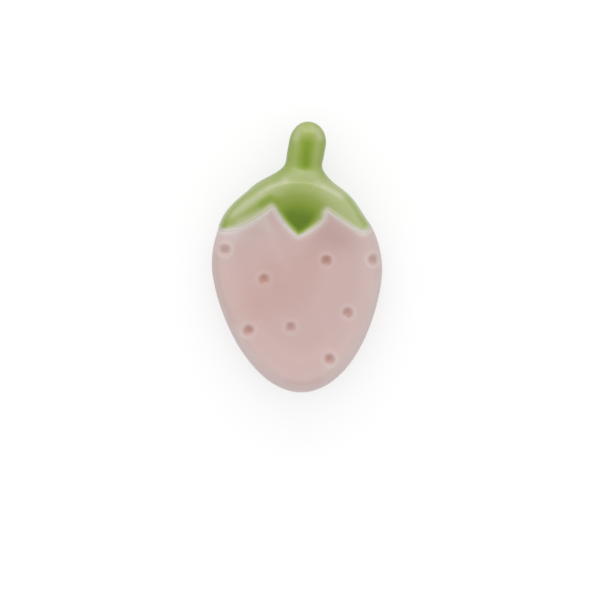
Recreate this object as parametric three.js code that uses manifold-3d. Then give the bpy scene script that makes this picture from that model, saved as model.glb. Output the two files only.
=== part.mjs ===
// Chopstick rest in the shape of a strawberry, of pale clay under pink and green glaze.
// Millimetres, Z up. The rest lies on its foot at Z = 0 with the stalk towards +Y.

import * as THREE from "three";
import { mergeVertices } from "three/addons/utils/BufferGeometryUtils.js";
import Module from "manifold-3d";

// Sizes of the finished rest, glaze included
const berryWidth = 33.3;
const tipLength = 24.3; // from the widest line of the berry to its tip
const shoulderLength = 18.4; // from the widest line to the shoulder under the stalk
const stalkReach = 10.1; // how far the stalk stands out from the shoulder
const berryLean = 0.035; // sideways lean for each millimetre of length
const tipPower = 1.54; // 2 makes the tip half an ellipse, less makes it more pointed
const shoulderPower = 1.95; // the same for the shoulder

// Heights above the table
const floorHeight = 8.0; // lowest place of the dished top
const floorRise = 0.3; // from there to the foot of the rim
const sideRimHeight = 9.0;
const tipRimHeight = 10.0;
const collarHeight = 12.0; // crest of the leaf cap's collar, under the stalk
const bellyHeight = 3.9; // where the wall stands out furthest

// Runs in from the outline, seen from above
const rimInset = 2.1; // from the outline to the crest of the rim
const collarInset = 1.4; // from the outline to the crest of the collar
const sideRun = 4.5; // from the crest down to the dished floor, at the sides
const tipRun = 7.0; // the same at the tip
const collarRun = 8.5; // the same under the stalk
const collarFade = 0.1; // where the collar starts, as the sine of the angle round the berry
const footInset = 1.7;

// Bare foot
const footRimWidth = 4.0;
const footHollowDepth = 2.0;
const footHollowRound = 0.8;
const glazeLineHeight = 1.3; // the glaze stops here, so that it does not stick in the kiln

// Clay joints and glaze
const glazeThickness = 0.4;
const glazeGap = 0.3; // the film where glaze and clay fuse
const slipGap = 0.3; // the film of liquid clay in a joint
const lineWidth = 0.4; // the raised line that parts the two glazes
const lineProud = 0.1; // how far it stands above the glaze

// Leaf cap: how far its points and the notches between them reach down from the shoulder
const leafThickness = 1.5;
const leafDrawBack = 0.3; // towards the stalk for each millimetre that an edge goes down the wall
const leftPointReach = 11.2;
const leftNotchReach = 6.4;
const middlePointReach = 12.7;
const rightNotchReach = 7.5;
const rightPointReach = 12.5;

// Their places across, as shares of half the width. The edge from each one to the next bulges
// towards the tip of the berry, in its middle by this much.
const leafPoints = [
  { across: -0.868, reach: leftPointReach, bulge: 1.15 },
  { across: -0.278, reach: leftNotchReach, bulge: 0.65 },
  { across: 0.023, reach: middlePointReach, bulge: 0.95 },
  { across: 0.342, reach: rightNotchReach, bulge: 0.4 },
  { across: 0.834, reach: rightPointReach, bulge: 0 },
];

// Seed pits: places as shares of half the width and of the length to the tip or shoulder
const seedWidth = 1.8;
const seedDepth = 0.55;
const seedPlaces = [
  { across: -0.826, along: 0.200 },
  { across: -0.387, along: -0.086 },
  { across: 0.345, along: 0.083 },
  { across: 0.885, along: 0.095 },
  { across: 0.574, along: -0.352 },
  { across: -0.586, along: -0.490 },
  { across: -0.098, along: -0.467 },
  { across: 0.341, along: -0.719 },
];

// Stalk: a little flattened, flared at the root and bent towards +X
const stalkWidth = 7.4;
const stalkThickness = 6.6;
const stalkDrop = 5.9; // from the crest of the collar down to the middle of the stalk
const stalkFlare = 4.9; // added to each side at the root, where it runs into the shoulder
const stalkFlareRise = 1.4; // added above and below at the root
const stalkFlareRun = 5.5;
const stalkRoot = 3.4; // how far the root starts inside the shoulder
const stalkBend = 2.7;

// Facets
const spokes = 72;
const roundSteps = 5;
const slopeSteps = 5;
const floorSteps = 3;
const flareSteps = 7;
const leafSteps = 4; // along each edge of a leaf

// Sizes worked out from those above
const coat = glazeGap + glazeThickness;
const overallLength = tipLength + shoulderLength + stalkReach;
const widestY = tipLength - overallLength / 2;
const shoulderY = widestY + shoulderLength;
const halfWidth = berryWidth / 2;
const clayFloor = floorHeight - coat;
const seatHeight = clayFloor - leafThickness;
const stalkAxisHeight = collarHeight - stalkDrop;
const farAway = overallLength;

const wasm = await Module();
wasm.setup();

// A copy of a geometry with shared corners and without collapsed triangles.
function welded(geometry) {
  const bare = geometry.clone();
  bare.deleteAttribute("normal");
  bare.deleteAttribute("uv");
  const merged = mergeVertices(bare, 1e-5);
  const corners = merged.index.array;
  const kept = [];
  for (let i = 0; i < corners.length; i += 3) {
    const [a, b, c] = corners.slice(i, i + 3);
    if (a !== b && b !== c && c !== a) kept.push(a, b, c);
  }
  merged.setIndex(kept);
  return merged;
}

// A closed geometry as a solid that can be joined and cut.
function solidOf(geometry) {
  const closed = welded(geometry);
  const mesh = new wasm.Mesh({
    numProp: 3,
    vertProperties: new Float32Array(closed.attributes.position.array),
    triVerts: new Uint32Array(closed.index.array),
  });
  return new wasm.Manifold(mesh);
}

// A solid's faces as a geometry.
function geometryOf(solid) {
  const { vertProperties, triVerts } = solid.getMesh();
  const geometry = new THREE.BufferGeometry();
  geometry.setAttribute("position", new THREE.BufferAttribute(vertProperties, 3));
  geometry.setIndex(new THREE.BufferAttribute(triVerts, 1));
  geometry.computeVertexNormals();
  return geometry;
}

// A closed form with its whole surface moved outwards.
function grown(form, distance) {
  const result = welded(form);
  result.computeVertexNormals();
  const { position, normal } = result.attributes;
  for (let i = 0; i < position.count; i += 1) {
    const point = new THREE.Vector3().fromBufferAttribute(position, i);
    const outwards = new THREE.Vector3().fromBufferAttribute(normal, i);
    point.addScaledVector(outwards, distance);
    position.setXYZ(i, point.x, point.y, point.z);
  }
  return result;
}

// Skins rings of points, from the middle of the underside to the middle of the top.
function loft(rings, underside, top) {
  const points = [underside, ...rings.flat(), top];
  const last = points.length - 1;
  const count = rings[0].length;
  const corner = (ring, spoke) => 1 + ring * count + (spoke % count);
  const index = [];
  for (let spoke = 0; spoke < count; spoke += 1) {
    index.push(0, corner(0, spoke + 1), corner(0, spoke));
    index.push(last, corner(rings.length - 1, spoke), corner(rings.length - 1, spoke + 1));
    for (let ring = 0; ring < rings.length - 1; ring += 1) {
      const [a, b] = [corner(ring, spoke), corner(ring, spoke + 1)];
      const [c, d] = [corner(ring + 1, spoke), corner(ring + 1, spoke + 1)];
      index.push(a, b, d, a, d, c);
    }
  }
  const geometry = new THREE.BufferGeometry().setFromPoints(points);
  geometry.setIndex(index);
  return geometry;
}

// A point of the berry's outline, set in from the glazed one by a distance.
function outlinePoint(angle, inset) {
  const rise = Math.sin(angle);
  const across = (halfWidth - inset) * Math.cos(angle);
  const along = rise >= 0
    ? (shoulderLength - inset) * rise ** (2 / shoulderPower)
    : -(tipLength - inset) * (-rise) ** (2 / tipPower);
  return new THREE.Vector2(across - berryLean * along, along);
}

// A size that goes from its value at the sides to one at the collar and one at the tip.
function aroundBerry(angle, side, collar, tip) {
  const rise = Math.sin(angle);
  const share = rise >= 0 ? THREE.MathUtils.smoothstep(rise, collarFade, 1) : rise * rise;
  return THREE.MathUtils.lerp(side, rise >= 0 ? collar : tip, share);
}

// The clay's section along a spoke: foot, belly, crest, inner slope and dished floor.
function sectionAt(angle, spokeLength) {
  const crest = aroundBerry(angle, sideRimHeight, collarHeight, tipRimHeight) - coat;
  const crestInset = aroundBerry(angle, rimInset, collarInset, rimInset);
  const run = aroundBerry(angle, sideRun, collarRun, tipRun);
  const slopeFoot = crestInset + run;
  const floorEdge = clayFloor + floorRise;
  const rows = [];
  for (let i = 0; i <= roundSteps; i += 1) {
    const turn = (i / roundSteps) * (Math.PI / 2);
    const z = bellyHeight * (1 - Math.cos(turn));
    rows.push({ inset: footInset * (1 - Math.sin(turn)), z });
  }
  for (let i = 1; i <= roundSteps; i += 1) {
    const turn = (i / roundSteps) * (Math.PI / 2);
    const z = THREE.MathUtils.lerp(bellyHeight, crest, Math.sin(turn));
    rows.push({ inset: crestInset * (1 - Math.cos(turn)), z });
  }
  for (let i = 1; i <= slopeSteps; i += 1) {
    const share = i / slopeSteps;
    const fall = (1 - Math.cos(Math.PI * share)) / 2;
    rows.push({ inset: crestInset + run * share, z: THREE.MathUtils.lerp(crest, floorEdge, fall) });
  }
  for (let i = 1; i < floorSteps; i += 1) {
    const share = i / floorSteps;
    const inset = THREE.MathUtils.lerp(slopeFoot, spokeLength, share);
    rows.push({ inset, z: clayFloor + floorRise * (1 - share) ** 2 });
  }
  return rows;
}

// The clay of berry and leaf cap as one pressed form.
function pressedForm() {
  const columns = [];
  for (let i = 0; i < spokes; i += 1) {
    const angle = (i / spokes) * Math.PI * 2;
    const edge = outlinePoint(angle, coat);
    const spokeLength = edge.length();
    columns.push(sectionAt(angle, spokeLength).map(({ inset, z }) => {
      const place = edge.clone().multiplyScalar(1 - inset / spokeLength);
      return new THREE.Vector3(place.x, widestY + place.y, z);
    }));
  }
  const rings = columns[0].map((_, row) => columns.map((column) => column[row]));
  const underside = new THREE.Vector3(0, widestY, 0);
  return loft(rings, underside, new THREE.Vector3(0, widestY, clayFloor));
}

// The clay stalk as a turned form, flattened and bent to one side.
function stalkForm() {
  const radius = stalkWidth / 2 - coat;
  const rootY = shoulderY - stalkRoot;
  const endY = shoulderY + stalkReach - coat;
  const profile = [new THREE.Vector2(0, rootY)];
  for (let i = 0; i <= flareSteps; i += 1) {
    const share = i / flareSteps;
    const flare = (stalkFlare * (1 + Math.cos(Math.PI * share))) / 2;
    profile.push(new THREE.Vector2(radius + flare, rootY + stalkFlareRun * share));
  }
  for (let i = 0; i < roundSteps; i += 1) {
    const turn = (i / roundSteps) * (Math.PI / 2);
    const y = endY - radius * (1 - Math.sin(turn));
    profile.push(new THREE.Vector2(radius * Math.cos(turn), y));
  }
  profile.push(new THREE.Vector2(0, endY));
  const form = welded(new THREE.LatheGeometry(profile, spokes / 3));
  const { position } = form.attributes;
  for (let i = 0; i < position.count; i += 1) {
    const [x, y, z] = [position.getX(i), position.getY(i), position.getZ(i)];
    const share = (y - rootY) / (endY - rootY);
    const bend = stalkBend * (1 - (1 - share) ** 2) - berryLean * shoulderLength;
    const round = Math.max(radius, Math.hypot(x, z));
    const rise = (stalkFlareRise * (round - radius)) / stalkFlare;
    const flatness = (stalkThickness / 2 - coat + rise) / round;
    position.setXYZ(i, x + bend, y, stalkAxisHeight + z * flatness);
  }
  return form;
}

// The line between the glazes, curved along each leaf and run out past both sides of the berry.
function leafLine() {
  const corners = leafPoints.map(({ across, reach }) => (
    new THREE.Vector2(across * halfWidth, shoulderY - reach)
  ));
  const line = [new THREE.Vector2(-farAway, corners[0].y)];
  corners.slice(1).forEach((end, i) => {
    const middle = corners[i].clone().lerp(end, 0.5);
    middle.y -= 2 * leafPoints[i].bulge;
    const edge = new THREE.QuadraticBezierCurve(corners[i], middle, end);
    line.push(...edge.getPoints(leafSteps).slice(0, leafSteps));
  });
  const last = corners[corners.length - 1];
  line.push(last, new THREE.Vector2(farAway, last.y));
  return line;
}

// The leaf line moved sideways towards the stalk, with mitred corners.
function movedLine(distance) {
  const line = leafLine();
  const normals = line.slice(1).map((point, i) => {
    const along = point.clone().sub(line[i]).normalize();
    return new THREE.Vector2(-along.y, along.x);
  });
  return line.map((point, i) => {
    const before = normals[Math.max(i - 1, 0)];
    const after = normals[Math.min(i, normals.length - 1)];
    const mitre = before.clone().add(after);
    return point.clone().addScaledVector(mitre, (2 * distance) / mitre.lengthSq());
  });
}

// A block over a closed outline, upright above the leaves. Below them its sides draw back
// towards the stalk, as the leaf line does where it goes down the wall.
function block(outline, low) {
  const heights = [low, clayFloor, farAway];
  const layers = heights.length - 1;
  const geometry = new THREE.ExtrudeGeometry(new THREE.Shape(outline), {
    depth: layers,
    steps: layers,
    bevelEnabled: false,
  });
  const { position } = geometry.attributes;
  for (let i = 0; i < position.count; i += 1) {
    const x = position.getX(i);
    const z = heights[Math.round(position.getZ(i))];
    const drawBack = leafDrawBack * Math.max(0, clayFloor - z);
    position.setXYZ(i, x, position.getY(i) + drawBack, z);
  }
  return solidOf(geometry);
}

// Everything on the stalk's side of the leaf line, from a height upwards.
function stalkSide(distance, low) {
  const corners = [new THREE.Vector2(farAway, farAway), new THREE.Vector2(-farAway, farAway)];
  return block([...movedLine(distance), ...corners], low);
}

// Everything on the tip's side of the leaf line, from a height upwards.
function tipSide(distance, low) {
  const corners = [new THREE.Vector2(-farAway, -farAway), new THREE.Vector2(farAway, -farAway)];
  return block([...corners, ...movedLine(-distance).reverse()], low);
}

// The balls that press the seed pits into a surface that lies under the glaze by a depth.
function seedBalls(surface, depth) {
  const mouth = seedWidth / 2;
  const radius = (mouth * mouth + seedDepth * seedDepth) / (2 * seedDepth);
  const mesh = new THREE.Mesh(surface);
  const down = new THREE.Vector3(0, 0, -1);
  return seedPlaces.map(({ across, along }) => {
    const y = along * (along >= 0 ? shoulderLength : tipLength);
    const above = new THREE.Vector3(across * halfWidth - berryLean * y, widestY + y, farAway);
    const [hit] = new THREE.Raycaster(above, down).intersectObject(mesh);
    const place = hit.point.clone().addScaledVector(hit.face.normal, coat + radius - seedDepth);
    const ball = new THREE.SphereGeometry(radius + depth, 12, 8);
    return solidOf(ball.translate(place.x, place.y, place.z));
  });
}

// A solid with each of several others cut away.
function cut(solid, others) {
  return others.reduce((left, other) => left.subtract(other), solid);
}

// The shallow hollow in the foot, with rounded inner corners.
function footHollow() {
  const inset = coat + footInset + footRimWidth;
  const outline = [];
  for (let i = 0; i < spokes / 2; i += 1) {
    const point = outlinePoint((i / (spokes / 2)) * Math.PI * 2, inset + footHollowRound);
    outline.push(point.add(new THREE.Vector2(0, widestY)));
  }
  const geometry = new THREE.ExtrudeGeometry(new THREE.Shape(outline), {
    depth: footHollowDepth,
    bevelThickness: footHollowRound,
    bevelSize: footHollowRound,
    bevelSegments: 3,
  });
  return solidOf(geometry.translate(0, 0, -footHollowRound));
}

const clayForm = pressedForm();
const stalkClay = stalkForm();
const clay = solidOf(clayForm);

// Pressed berry with its pits, its raised line, the seat for the leaf cap and the foot
const lineTop = solidOf(grown(clayForm, coat + lineProud));
const lineOutline = [...movedLine(-lineWidth / 2), ...movedLine(lineWidth / 2).reverse()];
const lineBand = block(lineOutline, glazeLineHeight);
const seat = stalkSide(lineWidth / 2, seatHeight - slipGap);
const seated = clay.subtract(seat).add(lineBand.intersect(lineTop));
const berryBody = cut(seated, [footHollow(), ...seedBalls(clayForm, coat)]);

// Leaf cap, let into its seat
const leafCap = clay.intersect(stalkSide(lineWidth / 2 + slipGap, seatHeight));

// Stalk, its root shaped to the end of the berry
const stalk = solidOf(stalkClay).subtract(solidOf(grown(clayForm, slipGap)));

// Glaze coats, of even thickness over the clay and down into the pits
const glazeTop = solidOf(grown(clayForm, coat));
const glazeUnder = solidOf(grown(clayForm, glazeGap));
const glazeEdge = lineWidth / 2 + glazeGap;
const pittedTop = cut(glazeTop, seedBalls(clayForm, 0));
const pittedUnder = cut(glazeUnder, seedBalls(clayForm, glazeThickness));
const berryGlaze = pittedTop.subtract(pittedUnder).intersect(tipSide(glazeEdge, glazeLineHeight));
const greenTop = glazeTop.add(solidOf(grown(stalkClay, coat)));
const greenUnder = glazeUnder.add(solidOf(grown(stalkClay, glazeGap)));
const leafGlaze = greenTop.subtract(greenUnder).intersect(stalkSide(glazeEdge, glazeLineHeight));

// A named piece with its own finish.
function piece(name, solid, color, roughness) {
  const material = new THREE.MeshStandardMaterial({ color, roughness, metalness: 0 });
  const mesh = new THREE.Mesh(geometryOf(solid), material);
  mesh.name = name;
  return mesh;
}

const group = new THREE.Group();
group.name = "strawberry_chopstick_rest";
group.add(piece("berry_body", berryBody, "#e6ddd0", 0.8));
group.add(piece("leaf_cap", leafCap, "#e6ddd0", 0.8));
group.add(piece("stalk", stalk, "#e6ddd0", 0.8));
group.add(piece("berry_glaze", berryGlaze, "#cfb2ac", 0.2));
group.add(piece("leaf_glaze", leafGlaze, "#9caf62", 0.2));

export default group;
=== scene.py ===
"""Strawberry chopstick rest: the finished look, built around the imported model."""

import logging
import math
from dataclasses import dataclass
from enum import Enum
from typing import Any, Callable, Optional, Union

import bmesh
import bpy
import numpy as np
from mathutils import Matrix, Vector, noise
from mathutils.bvhtree import BVHTree


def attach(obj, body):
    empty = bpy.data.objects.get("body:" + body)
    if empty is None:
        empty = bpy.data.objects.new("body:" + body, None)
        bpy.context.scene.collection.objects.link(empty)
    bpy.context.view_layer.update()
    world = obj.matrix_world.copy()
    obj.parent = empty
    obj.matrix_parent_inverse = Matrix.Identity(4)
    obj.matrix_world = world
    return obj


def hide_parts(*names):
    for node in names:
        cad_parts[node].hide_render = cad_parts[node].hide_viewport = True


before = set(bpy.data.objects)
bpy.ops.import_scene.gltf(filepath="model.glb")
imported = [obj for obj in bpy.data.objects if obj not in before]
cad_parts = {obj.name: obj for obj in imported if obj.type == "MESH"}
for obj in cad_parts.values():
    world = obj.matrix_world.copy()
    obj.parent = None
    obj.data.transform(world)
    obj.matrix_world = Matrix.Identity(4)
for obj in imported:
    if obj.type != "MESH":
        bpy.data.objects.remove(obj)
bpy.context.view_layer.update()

LOG = logging.getLogger("chopstick_rest")

# Shapes are worked out in millimetres and made metres when a piece is finished
MM = 0.001
BODY = "root"
# A corner this close to a cut counts as lying on it
SNAP = 1e-3
# Edges that turn by more degrees than this look sharp
SHARP_TURN = 55.0
# Keeps a division away from 0
TINY = 1e-12

Field = Callable[[np.ndarray], np.ndarray]
Colour = tuple[float, float, float, float]


def shade(red: int, green: int, blue: int) -> Colour:
    """Gives a colour written in screen values as the linear one that shaders take.

    Args:
        red: Red from 0 to 255.
        green: Green from 0 to 255.
        blue: Blue from 0 to 255.

    Returns:
        The linear colour with an alpha of 1.
    """
    def linear(value: int) -> float:
        """Gives one channel as a linear value."""
        part = value / 255
        return part / 12.92 if part <= 0.04045 else ((part + 0.055) / 1.055) ** 2.4

    return (linear(red), linear(green), linear(blue), 1.0)


def smoothstep(low: float, high: float, values: np.ndarray) -> np.ndarray:
    """Rises smoothly from 0 at low to 1 at high.

    Args:
        low: Where the rise starts.
        high: Where it ends.
        values: The values to map.

    Returns:
        Shares from 0 to 1.
    """
    share = np.clip((values - low) / (high - low), 0.0, 1.0)
    return share * share * (3 - 2 * share)


def hump(distance: np.ndarray, width: float) -> np.ndarray:
    """Gives a soft hump that is 1 at no distance and fades over a width.

    Args:
        distance: Distances from the middle.
        width: Distance at which about a third is left.

    Returns:
        Shares from 0 to 1.
    """
    return np.exp(-(distance / width) ** 2)


def segment_distance(points: np.ndarray, start: np.ndarray, end: np.ndarray) -> np.ndarray:
    """Measures how far points lie from a straight stretch, seen from above.

    Args:
        points: Points, of which X and Y count.
        start: One end of the stretch.
        end: Its other end.

    Returns:
        One distance for each point.
    """
    run = end - start
    along = ((points[:, :2] - start) @ run) / max(float(run @ run), TINY)
    nearest = start + np.clip(along, 0.0, 1.0)[:, None] * run
    return np.linalg.norm(points[:, :2] - nearest, axis=1)


def waviness(points: np.ndarray, size: float) -> np.ndarray:
    """Gives a slow unevenness over a surface, the same on every run.

    Args:
        points: Places on the surface.
        size: Distance between one wave and the next.

    Returns:
        Values from about -1 to 1.
    """
    return np.array([noise.noise(Vector(point) / size) for point in points])


@dataclass(frozen=True)
class BerryForm:
    """The pressed clay of berry and collar, close to the CAD part's, in millimetres."""

    width: float = 33.3
    tip_length: float = 24.3
    shoulder_length: float = 18.4
    stalk_reach: float = 10.1
    lean: float = 0.035
    # The shoulders sway a little to the left of the lean and then to the right
    sway: float = 0.33
    sway_start: float = 6.0
    sway_turn: float = 6.0
    sway_growth: float = 1.2
    sway_middle: float = 0.33
    sway_rise: float = 0.3
    tip_power: float = 1.54
    shoulder_power: float = 1.95
    floor_height: float = 8.0
    floor_rise: float = 0.3
    side_rim_height: float = 9.0
    tip_rim_height: float = 10.0
    collar_height: float = 12.0
    belly_height: float = 3.9
    rim_inset: float = 2.1
    collar_inset: float = 1.4
    side_run: float = 4.5
    tip_run: float = 7.0
    collar_run: float = 8.5
    collar_fade: float = 0.1
    foot_inset: float = 1.7
    foot_rim_width: float = 4.0
    foot_hollow_depth: float = 2.0
    foot_hollow_run: float = 1.2
    coat: float = 0.7
    # Shares of the way from the middle of the top to the middle of the underside
    floor_end: float = 0.31
    slope_end: float = 0.48
    shoulder_end: float = 0.64
    foot_end: float = 0.78
    plan_steps: int = 1441

    @property
    def widest_y(self) -> float:
        """Gives the line across the berry where it is widest."""
        return (self.tip_length - self.shoulder_length - self.stalk_reach) / 2

    @property
    def shoulder_y(self) -> float:
        """Gives the end of the berry under the stalk."""
        return self.widest_y + self.shoulder_length

    @property
    def clay_floor(self) -> float:
        """Gives the height of the dished floor without its glaze."""
        return self.floor_height - self.coat

    def outline(self, angle: np.ndarray) -> np.ndarray:
        """Gives the clay's outline round the middle of the berry.

        Args:
            angle: Angles round the berry.

        Returns:
            One place in X and Y for each angle.
        """
        rise = np.sin(angle)
        across = (self.width / 2 - self.coat) * np.cos(angle)
        to_tip = -(self.tip_length - self.coat) * np.abs(rise) ** (2 / self.tip_power)
        to_stalk = (self.shoulder_length - self.coat) * np.abs(rise) ** (2 / self.shoulder_power)
        along = np.where(rise >= 0, to_stalk, to_tip)
        return np.stack([across - self.lean * along + self.swayed(along), along], axis=1)

    def swayed(self, along: np.ndarray) -> np.ndarray:
        """Gives how far the outline is pushed to the right.

        Args:
            along: Distances from the widest line towards the stalk.

        Returns:
            One distance for each place.
        """
        share = np.clip((along - self.sway_start) / (self.shoulder_length - self.sway_start), 0, 1)
        amount = self.sway * (1 + self.sway_growth * (share - self.sway_middle))
        return -amount * smoothstep(0.0, self.sway_rise, share) * np.sin(self.sway_turn * share)

    def around(self, angle: np.ndarray, side: float, collar: float, tip: float) -> np.ndarray:
        """Blends a size from the sides to the collar and to the tip.

        Args:
            angle: Angles round the berry.
            side: The size at the sides.
            collar: The size under the stalk.
            tip: The size at the tip.

        Returns:
            The size at each angle.
        """
        rise = np.sin(angle)
        share = np.where(rise >= 0, smoothstep(self.collar_fade, 1.0, rise), rise * rise)
        return side + (np.where(rise >= 0, collar, tip) - side) * share

    def crest(self, angle: np.ndarray) -> tuple[np.ndarray, np.ndarray, np.ndarray]:
        """Gives the rim's crest and the slope that falls from it to the floor.

        Args:
            angle: Angles round the berry.

        Returns:
            Height of the crest, its inset from the outline, and the run of the slope.
        """
        rim, collar, tip = self.side_rim_height, self.collar_height, self.tip_rim_height
        height = self.around(angle, rim, collar, tip) - self.coat
        inset = self.around(angle, self.rim_inset, self.collar_inset, self.rim_inset)
        return height, inset, self.around(angle, self.side_run, self.collar_run, self.tip_run)

    def slope_height(self, angle: np.ndarray, share: np.ndarray) -> np.ndarray:
        """Gives the height of the inner slope.

        Args:
            angle: Angles round the berry.
            share: Share of the way from the crest down to the floor.

        Returns:
            Heights of the clay.
        """
        foot = self.clay_floor + self.floor_rise
        height = self.crest(angle)[0]
        return height + (foot - height) * (1 - np.cos(np.pi * share)) / 2

    def surface(self, directions: np.ndarray) -> np.ndarray:
        """Maps the points of a ball onto the clay form.

        Args:
            directions: Points of a ball of radius 1.

        Returns:
            Points of the clay form.
        """
        angle = np.arctan2(directions[:, 1], directions[:, 0])
        way = np.arccos(np.clip(directions[:, 2], -1.0, 1.0)) / np.pi
        edge = self.outline(angle)
        spoke = np.linalg.norm(edge, axis=1)
        height, inset, run = self.crest(angle)
        quarter = np.pi / 2
        floor = 1 - way / self.floor_end
        slope = np.clip((self.slope_end - way) / (self.slope_end - self.floor_end), 0, 1)
        shoulder = quarter * (self.shoulder_end - way) / (self.shoulder_end - self.slope_end)
        foot = quarter * (self.foot_end - way) / (self.foot_end - self.shoulder_end)
        under = (way - self.foot_end) / (1 - self.foot_end)
        under_inset = self.foot_inset + (spoke - self.foot_inset) * under
        hollow = self.foot_inset + self.foot_rim_width
        zones = [way < self.floor_end, way < self.slope_end, way < self.shoulder_end, way < self.foot_end]
        insets = np.select(zones, [
            inset + run + (spoke - inset - run) * floor,
            inset + run * slope,
            inset * (1 - np.cos(shoulder)),
            self.foot_inset * (1 - np.sin(foot)),
        ], under_inset)
        heights = np.select(zones, [
            self.clay_floor + self.floor_rise * (1 - floor) ** 2,
            self.slope_height(angle, slope),
            self.belly_height + (height - self.belly_height) * np.sin(shoulder),
            self.belly_height * (1 - np.cos(foot)),
        ], self.foot_hollow_depth * smoothstep(hollow, hollow + self.foot_hollow_run, under_inset))
        places = edge * (1 - insets / spoke)[:, None]
        return np.column_stack([places[:, 0], places[:, 1] + self.widest_y, heights])

    def plan(self, points: np.ndarray) -> tuple[np.ndarray, np.ndarray]:
        """Finds where points lie in the plan of the berry.

        Args:
            points: Points, of which X and Y count.

        Returns:
            Each point's angle round the berry and its inset from the clay's outline.
        """
        angles = np.linspace(-np.pi, np.pi, self.plan_steps)
        edge = self.outline(angles)
        turns = np.unwrap(np.arctan2(edge[:, 1], edge[:, 0]))
        across, along = points[:, 0], points[:, 1] - self.widest_y
        angle = np.interp(np.arctan2(along, across), turns, angles)
        spoke = np.linalg.norm(self.outline(angle), axis=1)
        return angle, spoke - np.hypot(across, along)

    def top_height(self, points: np.ndarray) -> np.ndarray:
        """Gives the height of the clay's top under points.

        Args:
            points: Points, of which X and Y count.

        Returns:
            Heights of the clay.
        """
        angle, depth = self.plan(points)
        height, inset, run = self.crest(angle)
        spoke = np.linalg.norm(self.outline(angle), axis=1)
        floor = np.clip((depth - inset - run) / (spoke - inset - run), 0, 1)
        outside = np.sqrt(np.clip(1 - (1 - np.clip(depth / inset, 0, 1)) ** 2, 0, 1))
        return np.select([depth < inset, depth < inset + run], [
            self.belly_height + (height - self.belly_height) * outside,
            self.slope_height(angle, np.clip((depth - inset) / run, 0, 1)),
        ], self.clay_floor + self.floor_rise * (1 - floor) ** 2)


@dataclass(frozen=True)
class StalkForm:
    """The rolled clay stalk: flattened, flared at its root and bent to one side."""

    form: BerryForm
    width: float = 7.4
    thickness: float = 6.6
    drop: float = 5.9
    flare: float = 4.4
    flare_skew: float = 0.09
    flare_rise: float = 1.4
    flare_run: float = 5.0
    root: float = 3.4
    root_shift: float = -0.2
    bend: float = 3.0
    bend_power: float = 2.5
    # How much longer than round the far end is
    end_stretch: float = 1.25
    flare_steps: int = 24
    end_steps: int = 12
    turn_steps: int = 64
    weld: float = 1e-4

    @property
    def radius(self) -> float:
        """Gives half the clay's width."""
        return self.width / 2 - self.form.coat

    @property
    def ends(self) -> tuple[float, float]:
        """Gives the Y of the root and of the far end."""
        shoulder = self.form.shoulder_y
        return shoulder - self.root, shoulder + self.form.stalk_reach - self.form.coat

    def profile(self) -> list[Vector]:
        """Gives the turned outline from the root to the far end.

        Returns:
            Points in the plane of X and Y.
        """
        start, end = self.ends
        points = [Vector((0, start, 0))]
        for i in range(self.flare_steps + 1):
            share = i / self.flare_steps
            swell = self.flare * (1 + math.cos(math.pi * share)) / 2
            points.append(Vector((self.radius + swell, start + self.flare_run * share, 0)))
        for i in range(self.end_steps):
            turn = i / self.end_steps * math.pi / 2
            along = end - self.end_stretch * self.radius * (1 - math.sin(turn))
            points.append(Vector((self.radius * math.cos(turn), along, 0)))
        return points + [Vector((0, end, 0))]

    def axis(self, along: np.ndarray) -> np.ndarray:
        """Gives the X of the stalk's middle line.

        Args:
            along: Places along Y.

        Returns:
            One X for each place.
        """
        start, end = self.ends
        share = np.clip((along - start) / (end - start), 0.0, 1.0)
        root = self.root_shift - self.form.lean * self.form.shoulder_length
        return root + self.bend * (1 - (1 - share) ** self.bend_power)

    def shaped(self, points: np.ndarray) -> np.ndarray:
        """Flattens and bends the turned stalk and lifts it to its height.

        Args:
            points: Points of the turned stalk.

        Returns:
            Points of the finished form.
        """
        across, along, up = points.T
        wide = np.maximum(self.radius, np.hypot(across, up))
        swell = (wide - self.radius) / self.flare
        flatness = (self.thickness / 2 - self.form.coat + self.flare_rise * swell) / wide
        skewed = across * np.where(across < 0, 1 + self.flare_skew * swell, 1.0)
        height = self.form.collar_height - self.drop
        return np.column_stack([skewed + self.axis(along), along, height + up * flatness])

    def add_to(self, bm: bmesh.types.BMesh) -> None:
        """Turns the stalk and adds it to a mesh.

        Args:
            bm: The mesh.
        """
        old = len(bm.verts)
        verts = [bm.verts.new(point) for point in self.profile()]
        edges = [bm.edges.new(pair) for pair in zip(verts, verts[1:])]
        bmesh.ops.spin(
            bm, geom=verts + edges, cent=(0, 0, 0), axis=(0, 1, 0), angle=math.tau,
            steps=self.turn_steps, use_merge=True,
        )
        bmesh.ops.remove_doubles(bm, verts=list(bm.verts)[old:], dist=self.weld)
        turned = list(bm.verts)[old:]
        shaped = self.shaped(np.array([vert.co for vert in turned]))
        for vert, point in zip(turned, shaped):
            vert.co = point
        faces = {face for vert in turned for face in vert.link_faces}
        bmesh.ops.recalc_face_normals(bm, faces=list(faces))


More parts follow.
